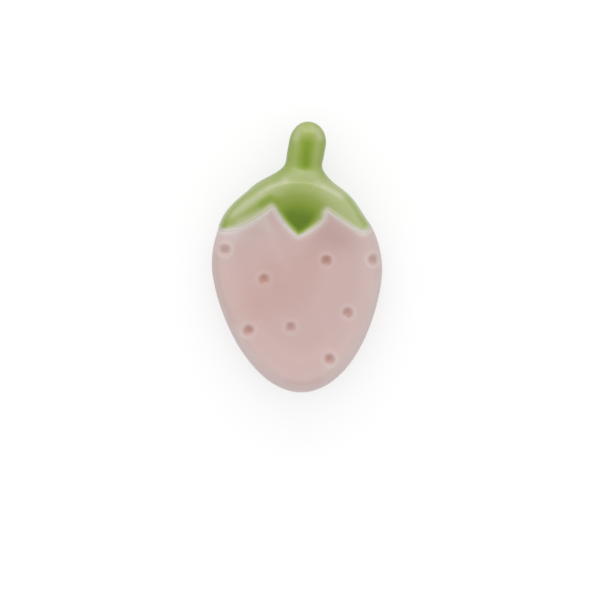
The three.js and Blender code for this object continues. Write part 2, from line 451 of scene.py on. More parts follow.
@dataclass(frozen=True)
class LeafLine:
    """The raised line between the two glazes, along the points of the leaves."""

    form: BerryForm
    draw_back: float = 0.3
    across: tuple[float, ...] = (-0.845, -0.284, 0.008, 0.316, 0.356, 0.768)
    reach: tuple[float, ...] = (11.3, 6.55, 12.45, 9.23, 7.25, 11.8)
    bulge: tuple[float, ...] = (0.85, 0.5, 0.45, 0.0, 0.15)
    # How steeply the line rises beyond the outer tip on the left and on the right
    end_rise: tuple[float, float] = (0.5, 1.0)
    end_step: float = 0.8
    half_width: float = 0.25
    proud: float = 0.02
    crown: float = 0.07
    steps: int = 8
    run_out: float = 40.0
    corner_cut: float = 0.25

    def path(self) -> np.ndarray:
        """Gives the line in plan, with its corners a little rounded.

        Returns:
            Points from the left to the right.
        """
        half = self.form.width / 2
        corners = np.array([
            (share * half, self.form.shoulder_y - reach)
            for share, reach in zip(self.across, self.reach)
        ])
        rises = zip((-1, 1), self.end_rise)
        left, right = (self.end_step * np.array([side, rise]) for side, rise in rises)
        ends = self.run_out / self.end_step
        points = [np.array([corners[0] + left * ends, corners[0] + left])]
        shares = np.linspace(0, 1, self.steps, endpoint=False)[:, None]
        for start, end, bulge in zip(corners, corners[1:], self.bulge):
            middle = (start + end) / 2 - np.array([0, 2 * bulge])
            curve = (1 - shares) ** 2 * start + 2 * shares * (1 - shares) * middle
            points.append(curve + shares ** 2 * end)
        points.append(np.array([corners[-1], corners[-1] + right, corners[-1] + right * ends]))
        line = np.concatenate(points)
        keep, cut_off = 1 - self.corner_cut, self.corner_cut
        inner = (line[:-1] * keep + line[1:] * cut_off, line[:-1] * cut_off + line[1:] * keep)
        cut = np.stack(inner, axis=1).reshape(-1, 2)
        return np.concatenate([line[:1], cut, line[-1:]])

    def distance(self, points: np.ndarray) -> np.ndarray:
        """Measures how far points lie from the line, seen from above.

        Args:
            points: Points in space.

        Returns:
            Distances, above 0 on the stalk's side.
        """
        line = self.path()
        level = points[:, :2].copy()
        level[:, 1] -= self.draw_back * np.maximum(0, self.form.clay_floor - points[:, 2])
        far = np.full(len(points), np.inf)
        for start, end in zip(line, line[1:]):
            far = np.minimum(far, segment_distance(level, start, end))
        return np.where(level[:, 1] > np.interp(level[:, 0], line[:, 0], line[:, 1]), far, -far)


@dataclass(frozen=True)
class SeedPits:
    """The pits that stand for seeds, pressed with a small round tool."""

    form: BerryForm
    width: float = 1.8
    depth: float = 0.45
    lip_height: float = 0.05
    lip_place: float = 1.45
    lip_width: float = 0.4
    slack: float = 0.25
    glaze_lift: float = 0.45
    drift: float = -0.2
    pool_width: float = 1.05
    # Shares of the width at which a pit's floor ends and its mouth begins
    floor_share: float = 0.08
    mouth_share: float = 0.7
    # How much glaze has gathered in each pit, next to the usual amount
    pools: tuple[float, ...] = (0.85, 1.15, 0.95, 1.0, 0.8, 1.25, 0.65, 1.1)
    places: tuple[tuple[float, float], ...] = (
        (-0.826, 0.2), (-0.387, -0.086), (0.345, 0.083), (0.885, 0.095),
        (0.574, -0.352), (-0.586, -0.49), (-0.098, -0.467), (0.341, -0.719),
    )

    def centres(self) -> np.ndarray:
        """Gives the middle of each pit in plan.

        Returns:
            One place in X and Y for each pit.
        """
        form = self.form
        across, along = np.array(self.places).T
        along = along * np.where(along >= 0, form.shoulder_length, form.tip_length)
        places = [across * form.width / 2 - form.lean * along, form.widest_y + along + self.drift]
        return np.stack(places, axis=1)

    def spans(self, points: np.ndarray, lift: float = 0.0) -> np.ndarray:
        """Measures how far points on the clay or its glaze lie from each pit.

        Args:
            points: Points in space.
            lift: How far they lie above the clay, 0 for the clay itself.

        Returns:
            Distances; a drop counts from where it is more than the slack.
        """
        centres = self.centres()
        level = np.linalg.norm(points[:, None, :2] - centres[None], axis=2)
        drop = np.abs(points[:, 2, None] - self.form.top_height(centres)[None] - lift)
        return np.hypot(level, np.maximum(drop - self.slack, 0))

    def distance(self, points: np.ndarray) -> np.ndarray:
        """Gives the distance from points on the clay to the nearest pit."""
        return self.spans(points).min(axis=1)

    def pooled(self, points: np.ndarray) -> np.ndarray:
        """Gives how much glaze has gathered at each point of it in the bottom of a pit."""
        spans = self.spans(points, self.glaze_lift)
        return (np.array(self.pools) * hump(spans ** 2, self.pool_width ** 2)).max(axis=1)

    def lips(self, points: np.ndarray) -> np.ndarray:
        """Gives 1 for points of the glaze on the lip of a pit, falling to 0 beside it."""
        return hump(self.spans(points, self.glaze_lift).min(axis=1) - self.lip_place, self.lip_width)

    def pressed(self, points: np.ndarray) -> np.ndarray:
        """Gives how deep the surface is pressed in, with a low lip round each pit.

        Args:
            points: Points in space.

        Returns:
            Depths below the even surface.
        """
        far = self.distance(points)
        floor, mouth = self.floor_share * self.width, self.mouth_share * self.width
        dip = self.depth * (1 - smoothstep(floor, mouth, far))
        return dip - self.lip_height * hump(far - self.lip_place, self.lip_width)


def coordinates(bm: bmesh.types.BMesh) -> np.ndarray:
    """Gives the places of a mesh's corners in their order."""
    bm.verts.index_update()
    return np.array([vert.co for vert in bm.verts]).reshape(-1, 3)


def move_to(bm: bmesh.types.BMesh, points: np.ndarray) -> None:
    """Moves a mesh's corners to new places.

    Args:
        bm: The mesh.
        points: One place for each corner.
    """
    for vert, point in zip(bm.verts, points):
        vert.co = point
    bm.normal_update()


def soften(bm: bmesh.types.BMesh, rounds: int, where: Optional[Field] = None) -> None:
    """Smooths a mesh, all over or in one place.

    Args:
        bm: The mesh.
        rounds: How often to smooth.
        where: Gives the share of the rounds that each corner takes part in.
    """
    verts = list(bm.verts)
    shares = np.ones(len(verts)) if where is None else where(coordinates(bm))
    for i in range(rounds):
        chosen = [vert for vert, share in zip(verts, shares) if share > i / rounds]
        bmesh.ops.smooth_vert(
            bm, verts=chosen, factor=0.5, use_axis_x=True, use_axis_y=True, use_axis_z=True
        )
    bm.normal_update()


def refine(bm: bmesh.types.BMesh, chosen: np.ndarray) -> None:
    """Halves the edges of a mesh in one place.

    Args:
        bm: The mesh.
        chosen: One truth for each corner; edges between two true ones are halved.
    """
    edges = [edge for edge in bm.edges if all(chosen[vert.index] for vert in edge.verts)]
    bmesh.ops.subdivide_edges(bm, edges=edges, cuts=1, use_grid_fill=True)
    bmesh.ops.triangulate(bm, faces=bm.faces)


def split_at(bm: bmesh.types.BMesh, level: Field) -> None:
    """Cuts a mesh's faces along the line where a level is 0.

    Args:
        bm: The mesh.
        level: Gives a level for points.
    """
    values = level(coordinates(bm))
    line = [vert for vert in bm.verts if abs(values[vert.index]) < SNAP]
    crossing = []
    for edge in bm.edges:
        start, end = (values[vert.index] for vert in edge.verts)
        if start * end < 0 and min(abs(start), abs(end)) >= SNAP:
            crossing.append((edge, edge.verts[0], start / (start - end)))
    for edge, vert, share in crossing:
        line.append(bmesh.utils.edge_split(edge, vert, share)[1])
    bmesh.ops.connect_verts(bm, verts=line)


def trim(bm: bmesh.types.BMesh, level: Field) -> None:
    """Cuts away the part of a mesh where a level is below 0.

    Args:
        bm: The mesh.
        level: Gives a level for points.
    """
    split_at(bm, level)
    values = level(np.array([face.calc_center_median() for face in bm.faces]))
    gone = [face for face, value in zip(bm.faces, values) if value < 0]
    bmesh.ops.delete(bm, geom=gone, context="FACES")
    bmesh.ops.triangulate(bm, faces=bm.faces)


def paint(bm: bmesh.types.BMesh, name: str, values: np.ndarray) -> None:
    """Stores one number for each corner, for a finish to read.

    Args:
        bm: The mesh.
        name: Name of the stored numbers.
        values: One number for each corner.
    """
    layer = bm.verts.layers.float.new(name)
    for vert, value in zip(bm.verts, values):
        vert[layer] = float(value)


def pressed_berry(form: BerryForm, rounds: int, near: Optional[Field] = None) -> bmesh.types.BMesh:
    """Makes the clay of berry and collar from a ball.

    Args:
        form: Sizes of the berry.
        rounds: How finely the ball is divided.
        near: Gives values above 0 where the mesh is made finer.

    Returns:
        The closed clay form.
    """
    bm = bmesh.new()
    bmesh.ops.create_icosphere(bm, subdivisions=rounds, radius=1.0)
    if near is not None:
        refine(bm, near(form.surface(coordinates(bm))) > 0)
        ball = coordinates(bm)
        move_to(bm, ball / np.linalg.norm(ball, axis=1)[:, None])
    move_to(bm, form.surface(coordinates(bm)))
    return bm


class Value:
    """A number in a node tree; arithmetic on it adds Math nodes."""

    def __init__(self, sheet: "ShaderSheet", socket: bpy.types.NodeSocket) -> None:
        """Wraps an output socket of a sheet."""
        self.sheet = sheet
        self.socket = socket

    def _join(self, operation: str, left: "Number", right: "Number", clamp: bool = False) -> "Value":
        """Adds one Math node.

        Args:
            operation: What the node does.
            left: Its first input.
            right: Its second input.
            clamp: Whether the result is kept from 0 to 1.

        Returns:
            The node's result.
        """
        settings = {"operation": operation, "use_clamp": clamp}
        made = self.sheet.node("ShaderNodeMath", settings, {0: left, 1: right})
        return Value(self.sheet, made.outputs[0])

    def __add__(self, other: "Number") -> "Value":
        """Adds a number."""
        return self._join("ADD", self, other)

    def __radd__(self, other: "Number") -> "Value":
        """Is added to a number."""
        return self._join("ADD", other, self)

    def __sub__(self, other: "Number") -> "Value":
        """Takes a number away."""
        return self._join("SUBTRACT", self, other)

    def __rsub__(self, other: "Number") -> "Value":
        """Is taken away from a number."""
        return self._join("SUBTRACT", other, self)

    def __mul__(self, other: "Number") -> "Value":
        """Multiplies by a number."""
        return self._join("MULTIPLY", self, other)

    def clamped(self) -> "Value":
        """Keeps the number from 0 to 1."""
        return self._join("ADD", self, 0.0, clamp=True)

    def at_least(self, other: "Number") -> "Value":
        """Gives the larger of two numbers."""
        return self._join("MAXIMUM", self, other)

    def between(self, start: float, end: float) -> "Value":
        """Gives the share of the way from start to end, from 0 to 1."""
        return ((self - start) * (1 / (end - start))).clamped()


Number = Union[Value, float]


class ShaderSheet:
    """A node tree that a finish is written on."""

    def __init__(self, tree: bpy.types.NodeTree) -> None:
        """Takes over an empty tree."""
        self.tree = tree
        tree.nodes.clear()

    def node(
        self, kind: str, settings: Optional[dict[str, Any]] = None, inputs: Optional[dict[Any, Any]] = None
    ) -> bpy.types.Node:
        """Adds a node.

        Args:
            kind: The node's type.
            settings: Its settings; stops are the places and colours of a ramp.
            inputs: Values or links for its sockets, by name or number.

        Returns:
            The node.
        """
        made = self.tree.nodes.new(kind)
        for name, setting in (settings or {}).items():
            if name == "stops":
                self._set_stops(made.color_ramp, setting)
            else:
                setattr(made, name, setting)
        for name, given in (inputs or {}).items():
            source = given.socket if isinstance(given, Value) else given
            if isinstance(source, bpy.types.NodeSocket):
                self.tree.links.new(source, made.inputs[name])
            else:
                made.inputs[name].default_value = source
        return made

    @staticmethod
    def _set_stops(ramp: bpy.types.ColorRamp, stops: tuple[tuple[float, Colour], ...]) -> None:
        """Sets the stops of a colour ramp, which starts with two.

        Args:
            ramp: The ramp.
            stops: Places and colours.
        """
        while len(ramp.elements) < len(stops):
            ramp.elements.new(0.5)
        for element, (place, colour) in zip(ramp.elements, stops):
            element.position = place
            element.color = colour

    def place(self) -> bpy.types.NodeSocket:
        """Gives the place on the piece, in metres."""
        return self.node("ShaderNodeTexCoord").outputs["Object"]

    def stored(self, name: str) -> Value:
        """Gives a number that was painted on the piece."""
        return Value(self, self.node("ShaderNodeAttribute", {"attribute_name": name}).outputs["Fac"])

    def mottle(self, size: float, detail: float = 2.0, offset: float = 0.0) -> Value:
        """Gives an uneven pattern over the piece.

        Args:
            size: Size of its patches in metres.
            detail: How much finer detail it has.
            offset: Shifts the pattern, so that two of them differ.

        Returns:
            Values round 0, mostly from -0.5 to 0.5.
        """
        shift = (offset, offset, offset)
        moved = self.node("ShaderNodeMapping", None, {"Vector": self.place(), "Location": shift})
        made = self.node(
            "ShaderNodeTexNoise", None,
            {"Vector": moved.outputs[0], "Scale": 1 / size, "Detail": detail, "Roughness": 0.5},
        )
        return Value(self, made.outputs["Fac"]) - 0.5

    def blend(self, share: Number, first: Any, second: Any) -> bpy.types.NodeSocket:
        """Mixes two colours.

        Args:
            share: Share of the second colour.
            first: The first colour or a link to it.
            second: The second colour or a link to it.

        Returns:
            The mixed colour.
        """
        return self.node("ShaderNodeMix", {"data_type": "RGBA"}, {0: share, 6: first, 7: second}).outputs[2]

    def mixed(self, share: Value, first: bpy.types.Node, second: bpy.types.Node) -> bpy.types.Node:
        """Mixes two shaders.

        Args:
            share: Share of the second shader.
            first: The first shader.
            second: The second shader.

        Returns:
            The mixed shader.
        """
        return self.node("ShaderNodeMixShader", None, {0: share, 1: first.outputs[0], 2: second.outputs[0]})

    def ramp(self, value: Value, stops: tuple[tuple[float, Colour], ...]) -> bpy.types.NodeSocket:
        """Turns a number into a colour.

        Args:
            value: The number.
            stops: Places and colours of the ramp.

        Returns:
            The colour.
        """
        return self.node("ShaderNodeValToRGB", {"stops": stops}, {0: value}).outputs[0]

    def bumped(self, height: Value, depth: float) -> bpy.types.NodeSocket:
        """Turns a pattern into a fine relief.

        Args:
            height: The pattern.
            depth: Its depth in metres.

        Returns:
            The surface's normal.
        """
        made = self.node("ShaderNodeBump", None, {"Height": height, "Distance": depth, "Strength": 1.0})
        return made.outputs[0]

    def finish(self, shader: bpy.types.Node, output: str) -> None:
        """Ends the sheet in a shader.

        Args:
            shader: The last node.
            output: Type of the output node.
        """
        self.node(output, None, {"Surface": shader.outputs[0]})


def new_finish(name: str) -> tuple[bpy.types.Material, ShaderSheet]:
    """Starts a material.

    Args:
        name: Its name.

    Returns:
        The material and the sheet that its finish is written on.
    """
    made = bpy.data.materials.new(name)
    made.use_nodes = True
    return made, ShaderSheet(made.node_tree)


class Stored(Enum):
    """Numbers that are painted on the glaze coats: the glaze's depth and warmth, with painted light and
    shade mixed in.
    """

    DEPTH_AND_PAINTED_LIGHT = "glaze_depth_and_painted_light"
    WARMTH_AND_HIGHLIGHT = "glaze_warmth_and_highlight"


@dataclass(frozen=True)
class GlazeFinish:
    """A glossy coloured glaze: pale where it lies thin, deep where it has pooled, with painted highlights
    and shade in the stored numbers.
    """

    name: str
    stops: tuple[tuple[float, Colour], ...]
    # The strokes' warm tint: warmer glaze on the pink, a painted highlight on the green stalk's tip
    warm_and_highlight_colour: Colour
    clouds: float = 0.16
    specks: float = 0.05
    roughness: float = 0.25
    uneven: float = 0.1
    relief: float = 0.00002
    cloud_size: float = 0.006
    speck_size: float = 0.0009
    relief_size: float = 0.0024
    cloud_detail: float = 3.0
    relief_detail: float = 1.0
    warm_clouds: float = 1.6
    refraction: float = 1.5
    # Each pattern is shifted by its own amount, so that no two of them match
    speck_shift: float = 0.31
    rough_shift: float = 0.17
    relief_shift: float = 0.53

    def material(self) -> bpy.types.Material:
        """Makes the material.

        Returns:
            The material.
        """
        made, sheet = new_finish(self.name)
        clouds = sheet.mottle(self.cloud_size, self.cloud_detail)
        specks = sheet.mottle(self.speck_size, offset=self.speck_shift)
        # The stored depth also carries painted highlights and shade
        depth = sheet.stored(Stored.DEPTH_AND_PAINTED_LIGHT.value) + clouds * self.clouds + specks * self.specks
        colour = sheet.ramp(depth.clamped(), self.stops)
        # The stored warmth also carries a painted highlight
        warmth_and_highlight = (sheet.stored(Stored.WARMTH_AND_HIGHLIGHT.value) * (1.0 + clouds * self.warm_clouds)).clamped()
        rough = self.roughness + sheet.mottle(self.relief_size, offset=self.rough_shift) * self.uneven
        relief = sheet.mottle(self.relief_size, self.relief_detail, self.relief_shift)
        shader = sheet.node("ShaderNodeBsdfPrincipled", None, {
            "Base Color": sheet.blend(warmth_and_highlight, colour, self.warm_and_highlight_colour),
            "Roughness": rough,
            "IOR": self.refraction,
            "Normal": sheet.bumped(relief, self.relief),
        })
        sheet.finish(shader, "ShaderNodeOutputMaterial")
        return made


@dataclass(frozen=True)
class ClayFinish:
    """Pale fired clay without glaze, dry and a little sandy."""

    name: str = "fired_clay"
    pale: Colour = shade(219, 213, 206)
    dark: Colour = shade(204, 195, 185)
    grain_size: float = 0.0005
    patch_size: float = 0.005
    relief: float = 0.00003
    grain_detail: float = 3.0
    patch_shift: float = 0.4
    stain: float = 0.4
    stain_spread: float = 0.9
    roughness: float = 0.72
    uneven: float = 0.3
    refraction: float = 1.45

    def material(self) -> bpy.types.Material:
        """Makes the material.

        Returns:
            The material.
        """
        made, sheet = new_finish(self.name)
        grain = sheet.mottle(self.grain_size, self.grain_detail)
        patches = sheet.mottle(self.patch_size, offset=self.patch_shift)
        stain = (self.stain + grain * self.stain_spread + patches * self.stain_spread).clamped()
        shader = sheet.node("ShaderNodeBsdfPrincipled", None, {
            "Base Color": sheet.blend(stain, self.pale, self.dark),
            "Roughness": self.roughness + grain * self.uneven,
            "IOR": self.refraction,
            "Normal": sheet.bumped(grain, self.relief),
        })
        sheet.finish(shader, "ShaderNodeOutputMaterial")
        return made


@dataclass(frozen=True)
class FloorFinish:
    """A white table that shows white to the camera and keeps the soft shadow."""

    name: str = "white_table"
    pale: Colour = (0.36, 0.36, 0.36, 1.0)
    glow: float = 0.66

    def material(self) -> bpy.types.Material:
        """Makes the material.

        Returns:
            The material.
        """
        made, sheet = new_finish(self.name)
        diffuse = sheet.node("ShaderNodeBsdfDiffuse", None, {"Color": self.pale})
        glow = sheet.node("ShaderNodeEmission", None, {"Strength": self.glow})
        both = sheet.node("ShaderNodeAddShader", None, {0: diffuse.outputs[0], 1: glow.outputs[0]})
        shown = sheet.mixed(seen_directly(sheet), diffuse, both)
        sheet.finish(shown, "ShaderNodeOutputMaterial")
        return made


def seen_directly(sheet: ShaderSheet) -> Value:
    """Tells rays that show the surroundings from light that falls on things.

    Args:
        sheet: The sheet that asks.

    Returns:
        1 for the first and 0 for the second.
    """
    path = sheet.node("ShaderNodeLightPath").outputs
    camera, glossy = Value(sheet, path["Is Camera Ray"]), Value(sheet, path["Is Glossy Ray"])
    return camera.at_least(glossy).at_least(Value(sheet, path["Is Transmission Ray"]))


def finished(bm: bmesh.types.BMesh, name: str, material: bpy.types.Material) -> bpy.types.Object:
    """Turns a mesh in millimetres into an object of the scene.

    Args:
        bm: The mesh, which is used up.
        name: Name of the piece.
        material: Its material.

    Returns:
        The object.
    """
    bmesh.ops.scale(bm, vec=(MM, MM, MM), verts=bm.verts)
    mesh = bpy.data.meshes.new(name)
    bm.to_mesh(mesh)
    bm.free()
    mesh.shade_smooth()
    mesh.set_sharp_from_angle(angle=math.radians(SHARP_TURN))
    mesh.materials.append(material)
    piece = bpy.data.objects.new(name, mesh)
    bpy.context.scene.collection.objects.link(piece)
    return piece


def on_part(piece: bpy.types.Object, node: str) -> bpy.types.Object:
    """Makes a piece part of the rest in place of a CAD node.

    Args:
        piece: The piece.
        node: The node that it stands for.

    Returns:
        The piece.
    """
    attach(piece, BODY)
    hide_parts(node)
    LOG.info("%s: %d faces, for %s", piece.name, len(piece.data.polygons), node)
    return piece


@dataclass(frozen=True)
class Stroke:
    """A place where the glaze lies thicker, thinner or warmer, or where a highlight or shade is painted on,
    in millimetres from above.
    """

    path: tuple[tuple[float, float], ...]
    width: float
    amount: float

    def over(self, points: np.ndarray) -> np.ndarray:
        """Gives the stroke's amount at some points.

        Args:
            points: Points, of which X and Y count.

        Returns:
            One amount for each point.
        """
        corners = np.array(self.path)
        far = np.min([segment_distance(points, *pair) for pair in zip(corners, corners[1:])], axis=0)
        return self.amount * hump(far, self.width)


@dataclass(frozen=True)
class GlazeCoat:
    """What both coats of glaze share: their thickness, their edges, how they pool and the painted shading
    of their walls.
    """

    form: BerryForm
    line: LeafLine
    name: str
    node: str
    slot: str
    finish: GlazeFinish
    body_depth: float = 0.5
    thickness: float = 0.4
    # How far the coat's underside lies above the clay
    under: float = 0.3
    line_lap: float = 0.05
    edge_run: float = 0.8
    edge_share: float = 0.85
    edge_pale: float = 0.45
    edge_fade: float = 0.8
    wave_height: float = 0.08
    wave_size: float = 7.0
    # Paler glaze along the rim's crest: thin glaze there, and partly a painted highlight
    crest_pale_and_highlight: float = 0.11
    crest_width: float = 2.2
    # Painted shading of the outer walls, by how far each place faces up: the first amount darkens the steep
    # walls (lightens them below 0), the second darkens the nearly upright belly
    wall_painted_shading: float = 0.0
    wall_upright: float = 0.95
    wall_steep: float = 0.35
    belly_painted_shading: float = 0.0
    belly_upright: float = 0.4
    foot_line: float = 1.3
    foot_waver: float = 0.12
    # Count, height and shift of each wave of the edge at the foot
    foot_waves: tuple[tuple[int, float, float], ...] = ((3, 1.0, 1.0), (7, 0.6, 2.0), (13, 0.4, 0.0))
    # Strokes of pooled glaze and of painted highlights and shade
    depth_and_light_strokes: tuple[Stroke, ...] = ()
    warm_and_highlight_strokes: tuple[Stroke, ...] = ()

    def side(self, points: np.ndarray) -> np.ndarray:
        """Gives the distance from the coat's edge at the leaf line, above 0 on the coat."""
        raise NotImplementedError

    def above_foot(self, points: np.ndarray) -> np.ndarray:
        """Gives the height above the wavering edge at the foot.

        Args:
            points: Points in space.

        Returns:
            Heights, above 0 on the coat.
        """
        angle = np.arctan2(points[:, 1] - self.form.widest_y, points[:, 0])
        waves = [high * np.sin(count * angle + shift) for count, high, shift in self.foot_waves]
        waver = sum(waves)
        height = points[:, 2] - self.foot_line - self.foot_waver * waver
        low = points[:, 2] < self.form.belly_height
        beneath = low & (self.form.plan(points)[1] > self.form.foot_rim_width)
        return np.where(beneath, -self.foot_line, height)

    def inward(self, points: np.ndarray) -> np.ndarray:
        """Gives the distance from the nearest edge of the coat."""
        return np.minimum(self.side(points), self.above_foot(points))

    def cover(self, bm: bmesh.types.BMesh) -> None:
        """Turns the surface under the glaze into the closed coat.

        Args:
            bm: The open surface with its outward directions stored on it.
        """
        outward = bm.verts.layers.float_vector["outward"]
        under = list(bm.faces)
        made = bmesh.ops.extrude_face_region(bm, geom=under, use_keep_orig=True)["geom"]
        bmesh.ops.reverse_faces(bm, faces=under)
        top = [item for item in made if isinstance(item, bmesh.types.BMVert)]
        points = np.array([vert.co for vert in top])
        share = np.clip(self.inward(points) / self.edge_run, 0, 1)
        rounded = self.edge_share + (1 - self.edge_share) * np.sqrt(1 - (1 - share) ** 2)
        waves = self.wave_height * (waviness(points, self.wave_size) - 1) / 2
        for vert, amount in zip(top, self.thickness * rounded + waves * share):
            vert.co += vert[outward] * float(amount)
        bm.verts.layers.float_vector.remove(outward)
        bmesh.ops.recalc_face_normals(bm, faces=bm.faces)

    def store_outward(self, bm: bmesh.types.BMesh) -> None:
        """Stores which way each corner of the clay faces.

        Args:
            bm: The clay form.
        """
        layer = bm.verts.layers.float_vector.new("outward")
        for vert in bm.verts:
            vert[layer] = vert.normal

    def lift(self, bm: bmesh.types.BMesh, amounts: np.ndarray) -> None:
        """Moves a surface along its stored outward directions.

        Args:
            bm: The surface.
            amounts: How far each corner moves.
        """
        layer = bm.verts.layers.float_vector["outward"]
        for vert, amount in zip(bm.verts, amounts):
            vert.co += vert[layer] * float(amount)

    def glaze_depth_and_painted_light(self, points: np.ndarray, upright: np.ndarray) -> np.ndarray:
        """Gives how deep the glaze looks, painted light and shade included: 0 where the clay shines
        through, 1 where it pools.

        Args:
            points: Points of the coat.
            upright: How far each of them faces up, from -1 to 1.

        Returns:
            One depth for each point.
        """
        angle, inset = self.form.plan(points)
        crest = self.form.crest(angle)[1]
        # Paler along the crest, where the glaze runs thin, and in part a painted highlight
        depth = self.body_depth - self.crest_pale_and_highlight * hump(inset - crest, self.crest_width)
        outer = 1 - smoothstep(-self.edge_run, self.edge_run, inset - crest)
        # Painted shading: the steep and the nearly upright outer walls are made darker or lighter by how
        # far they face up
        wall_shade_share = 1 - smoothstep(self.wall_steep, self.wall_upright, upright)
        belly_shade_share = 1 - smoothstep(0.0, self.belly_upright, upright)
        depth = depth + outer * (self.wall_painted_shading * wall_shade_share + self.belly_painted_shading * belly_shade_share)
        depth = depth - self.edge_pale * hump(np.maximum(self.side(points), 0), self.edge_fade)
        # The strokes add pooled glaze and painted highlights and shade
        return depth + sum(stroke.over(points) for stroke in self.depth_and_light_strokes)

    def dress(self, bm: bmesh.types.BMesh) -> bpy.types.Object:
        """Paints the finished coat and puts it on the part.

        Args:
            bm: The closed coat.

        Returns:
            The piece.
        """
        bm.normal_update()
        points = coordinates(bm)
        upright = np.array([vert.normal.z for vert in bm.verts])
        paint(bm, Stored.DEPTH_AND_PAINTED_LIGHT.value, self.glaze_depth_and_painted_light(points, upright))
        warmth_and_highlight = sum((stroke.over(points) for stroke in self.warm_and_highlight_strokes), np.zeros(len(points)))
        paint(bm, Stored.WARMTH_AND_HIGHLIGHT.value, warmth_and_highlight)
        return on_part(finished(bm, self.name, self.finish.material()), self.node)


@dataclass(frozen=True)
class PinkCoat(GlazeCoat):
    """The pink glaze over the berry, down into the seed pits."""

    pits: Optional[SeedPits] = None
    pit_depth: float = 0.44
    lip_pale: float = 0.14
    ball_rounds: int = 7
    fine_pit: float = 1.9
    fine_line: float = 0.9
    soft_rounds: int = 8

    def side(self, points: np.ndarray) -> np.ndarray:
        """Gives the distance from the leaf line, above 0 towards the tip."""
        return -self.line.distance(points) - self.line.half_width + self.line_lap

    def fine(self, points: np.ndarray) -> np.ndarray:
        """Gives values above 0 near the pits and the leaf line."""
        near_line = self.fine_line - np.abs(self.side(points))
        return np.maximum(self.fine_pit - self.pits.distance(points), near_line)

    def glaze_depth_and_painted_light(self, points: np.ndarray, upright: np.ndarray) -> np.ndarray:
        """Adds the dark pits and their pale lips to the depth of the glaze."""
        pits = self.pit_depth * self.pits.pooled(points) - self.lip_pale * self.pits.lips(points)
        return super().glaze_depth_and_painted_light(points, upright) + pits

    def build(self) -> bpy.types.Object:
        """Builds the coat and puts it on the part.

        Returns:
            The piece.
        """
        bm = pressed_berry(self.form, self.ball_rounds, self.fine)
        soften(bm, self.soft_rounds)
        self.store_outward(bm)
        trim(bm, self.side)
        trim(bm, self.above_foot)
        self.lift(bm, self.under - self.pits.pressed(coordinates(bm)))
        self.cover(bm)
        return self.dress(bm)


